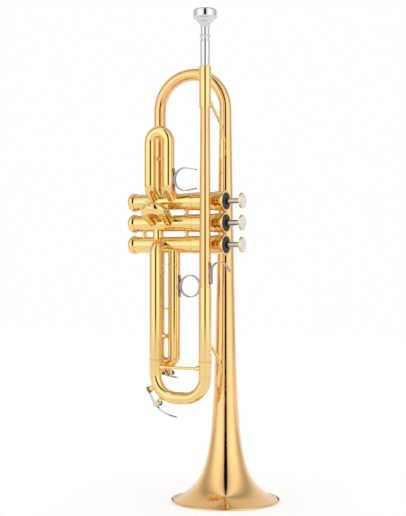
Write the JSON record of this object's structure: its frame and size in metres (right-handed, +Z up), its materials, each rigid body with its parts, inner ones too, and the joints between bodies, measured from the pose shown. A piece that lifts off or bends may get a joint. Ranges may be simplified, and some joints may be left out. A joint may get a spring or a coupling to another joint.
{
  "type": "trumpet",
  "caption": "B-flat trumpet standing on its bell: piston valves with pearl buttons, pull-out slides with finger ring, saddle, hook and water keys, removable mouthpiece",
  "frame": {"origin": "centre of the bell mouth, on the plane of its rim", "axes": "+Z up along the bell axis to the mouthpiece, +X to the finger buttons, -Y to the leadpipe side"},
  "size_m": [0.1715, 0.1263, 0.5465],
  "materials": {
    "gold_brass_lacquer": "clear lacquer over polished gold brass, warm orange",
    "yellow_brass_lacquer": "clear lacquer over polished yellow brass",
    "silver_plate": "bright silver plate",
    "nickel_silver": "polished nickel silver, slightly pink",
    "polished_steel": "lapped nickel alloy",
    "spring_steel": "bare spring wire",
    "pearl": "polished mother-of-pearl disc",
    "black_felt": "dense black felt",
    "cork": "pressed cork"
  },
  "bodies": {
    "horn": {"bell_flare": "gold_brass_lacquer", "bell_stem": "gold_brass_lacquer", "bell_bow": "gold_brass_lacquer", "bell_tail": "gold_brass_lacquer", "mouthpiece_receiver": "yellow_brass_lacquer", "leadpipe": "gold_brass_lacquer", "upper_slide_sleeve": "yellow_brass_lacquer", "lower_slide_sleeve": "yellow_brass_lacquer", "valve_casing_1": "yellow_brass_lacquer", "valve_casing_2": "yellow_brass_lacquer", "valve_casing_3": "yellow_brass_lacquer", "bottom_caps": "yellow_brass_lacquer", "top_caps": "yellow_brass_lacquer", "top_cap_felts": "black_felt", "spring_guides": "polished_steel", "crossover_tubes": "yellow_brass_lacquer", "casing_braces": "yellow_brass_lacquer", "first_slide_left_sleeve": "yellow_brass_lacquer", "first_slide_right_tube": "yellow_brass_lacquer", "second_slide_sleeves": "yellow_brass_lacquer", "third_slide_fixed_tubes": "yellow_brass_lacquer", "s_brace_upper": "yellow_brass_lacquer", "s_brace_lower": "yellow_brass_lacquer", "tail_brace": "yellow_brass_lacquer", "pinky_hook": "nickel_silver", "valve_spring_1": "spring_steel", "valve_spring_2": "spring_steel", "valve_spring_3": "spring_steel"},
    "mouthpiece": {"mouthpiece": "silver_plate"},
    "main_slide": {"main_slide_bow": "yellow_brass_lacquer", "main_slide_legs": "yellow_brass_lacquer", "main_slide_brace": "yellow_brass_lacquer", "main_water_key_post": "yellow_brass_lacquer", "main_water_key_spring": "spring_steel"},
    "main_water_key": {"main_water_key_lever": "silver_plate", "main_water_key_cork": "cork"},
    "first_slide": {"first_slide_bow": "yellow_brass_lacquer", "first_slide_inner_leg": "yellow_brass_lacquer", "first_slide_outer_leg": "yellow_brass_lacquer", "thumb_saddle": "nickel_silver"},
    "second_slide": {"second_slide_bow": "yellow_brass_lacquer", "second_slide_legs": "yellow_brass_lacquer", "second_slide_knob": "yellow_brass_lacquer"},
    "third_slide": {"third_slide_bow": "yellow_brass_lacquer", "third_slide_sleeves": "yellow_brass_lacquer", "third_slide_brace": "yellow_brass_lacquer", "third_slide_stop_rod": "yellow_brass_lacquer", "finger_ring": "nickel_silver", "third_water_key_post": "yellow_brass_lacquer"},
    "third_water_key": {"third_water_key_lever": "silver_plate", "third_water_key_cork": "cork"},
    "piston_1": {"piston_1": "polished_steel", "finger_button_1": "yellow_brass_lacquer", "button_pearl_1": "pearl"},
    "piston_2": {"piston_2": "polished_steel", "finger_button_2": "yellow_brass_lacquer", "button_pearl_2": "pearl"},
    "piston_3": {"piston_3": "polished_steel", "finger_button_3": "yellow_brass_lacquer", "button_pearl_3": "pearl"}
  },
  "joints": [
    {"name": "mouthpiece_pull", "type": "slide", "parent": "horn", "child": "mouthpiece", "axis": [0, 0, 1], "range_m": [0, 0.03]},
    {"name": "main_slide_pull", "type": "slide", "parent": "horn", "child": "main_slide", "axis": [0, 0, -1], "range_m": [0, 0.05]},
    {"name": "main_water_key_turn", "type": "hinge", "parent": "main_slide", "child": "main_water_key", "pos_m": [-0.06273, -0.044, 0.11117], "axis": [0, -1, 0], "range_deg": [0, 12], "stiffness_Nm_per_rad": 0.05, "springref_deg": -20.05},
    {"name": "first_slide_pull", "type": "slide", "parent": "horn", "child": "first_slide", "axis": [0, 0, 1], "range_m": [0, 0.02]},
    {"name": "second_slide_pull", "type": "slide", "parent": "horn", "child": "second_slide", "axis": [0, -0.8771, 0.4802], "range_m": [0, 0.008]},
    {"name": "third_slide_pull", "type": "slide", "parent": "horn", "child": "third_slide", "axis": [0, 0, -1], "range_m": [0, 0.022]},
    {"name": "third_water_key_turn", "type": "hinge", "parent": "third_slide", "child": "third_water_key", "pos_m": [-0.05879, -0.0225, 0.14326], "axis": [0, -1, 0], "range_deg": [0, 12], "stiffness_Nm_per_rad": 0.03, "springref_deg": -20.05},
    {"name": "valve_1_press", "type": "slide", "parent": "horn", "child": "piston_1", "axis": [-1, 0, 0], "range_m": [0, 0.0165], "stiffness_N_per_m": 110, "springref_m": -0.02, "deforming": ["valve_spring_1"]},
    {"name": "valve_2_press", "type": "slide", "parent": "horn", "child": "piston_2", "axis": [-1, 0, 0], "range_m": [0, 0.0165], "stiffness_N_per_m": 110, "springref_m": -0.02, "deforming": ["valve_spring_2"]},
    {"name": "valve_3_press", "type": "slide", "parent": "horn", "child": "piston_3", "axis": [-1, 0, 0], "range_m": [0, 0.0165], "stiffness_N_per_m": 110, "springref_m": -0.02, "deforming": ["valve_spring_3"]}
  ]
}
